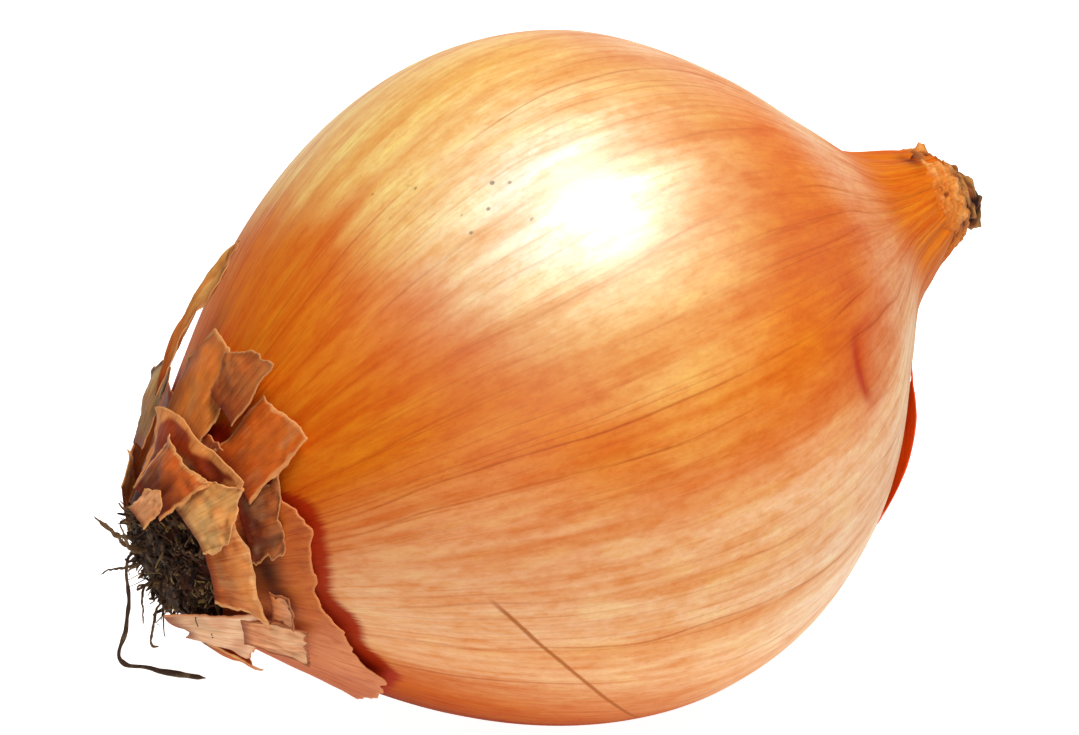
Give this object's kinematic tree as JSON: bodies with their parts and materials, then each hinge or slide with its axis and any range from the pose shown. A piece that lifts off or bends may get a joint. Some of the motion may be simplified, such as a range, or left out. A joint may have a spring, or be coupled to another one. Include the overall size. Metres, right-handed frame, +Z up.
{
  "type": "onion",
  "caption": "Brown onion lying on its side: round bulb drawn out to a dry neck, with a tuft of dried roots and torn papery skin flakes round its root end.",
  "frame": {"origin": "centre of the small flat spot that the bulb rests on", "axes": "+Z up, away from the surface it lies on; +X along the bulb's axis from the root plate to the neck; +Y to the rear"},
  "size_m": [0.1176, 0.0801, 0.0786],
  "materials": {
    "bulb_skin": "satin golden-orange papery skin with fine darker veins from root to neck",
    "outer_skin": "dry rust-orange outer skin, thin, torn along its edge",
    "dry_skin": "brittle tan to brown skin flakes, veined and curled, with pale edges",
    "pale_skin": "thin pinkish cream inner skin",
    "dry_leaf": "crumpled dark brown dried leaf ends",
    "dry_root": "matt dark brown dried root fibre"
  },
  "bodies": {
    "root": {"bulb": "bulb_skin", "skin_collar": "outer_skin", "skin_flap": "outer_skin", "neck_core": "dry_leaf", "root_plate": "dry_root", "root_tuft": "dry_root", "root_long": "dry_root", "root_upper": "dry_root", "root_crossing": "dry_root", "root_hooked": "dry_root", "root_fringe": "dry_root", "root_rear": "dry_root", "root_top": "dry_root", "flake_pointed": "dry_skin", "flake_diamond": "dry_skin", "flake_dark": "dry_skin", "flake_grey_brown": "dry_skin", "flake_low": "dry_skin", "flake_grey": "dry_skin", "flake_curl": "pale_skin", "flake_hood": "dry_skin", "flake_folded": "dry_skin", "flake_hood_inner": "dry_skin", "flake_tan_small": "dry_skin", "strip_curled": "dry_skin", "flake_rear_high": "dry_skin", "flake_rear_mid": "dry_skin", "flake_rear_tan": "dry_skin", "flake_rear_low": "dry_skin", "flake_under": "dry_skin", "lip_pale": "pale_skin", "strip_pale": "pale_skin"}
  },
  "joints": []
}
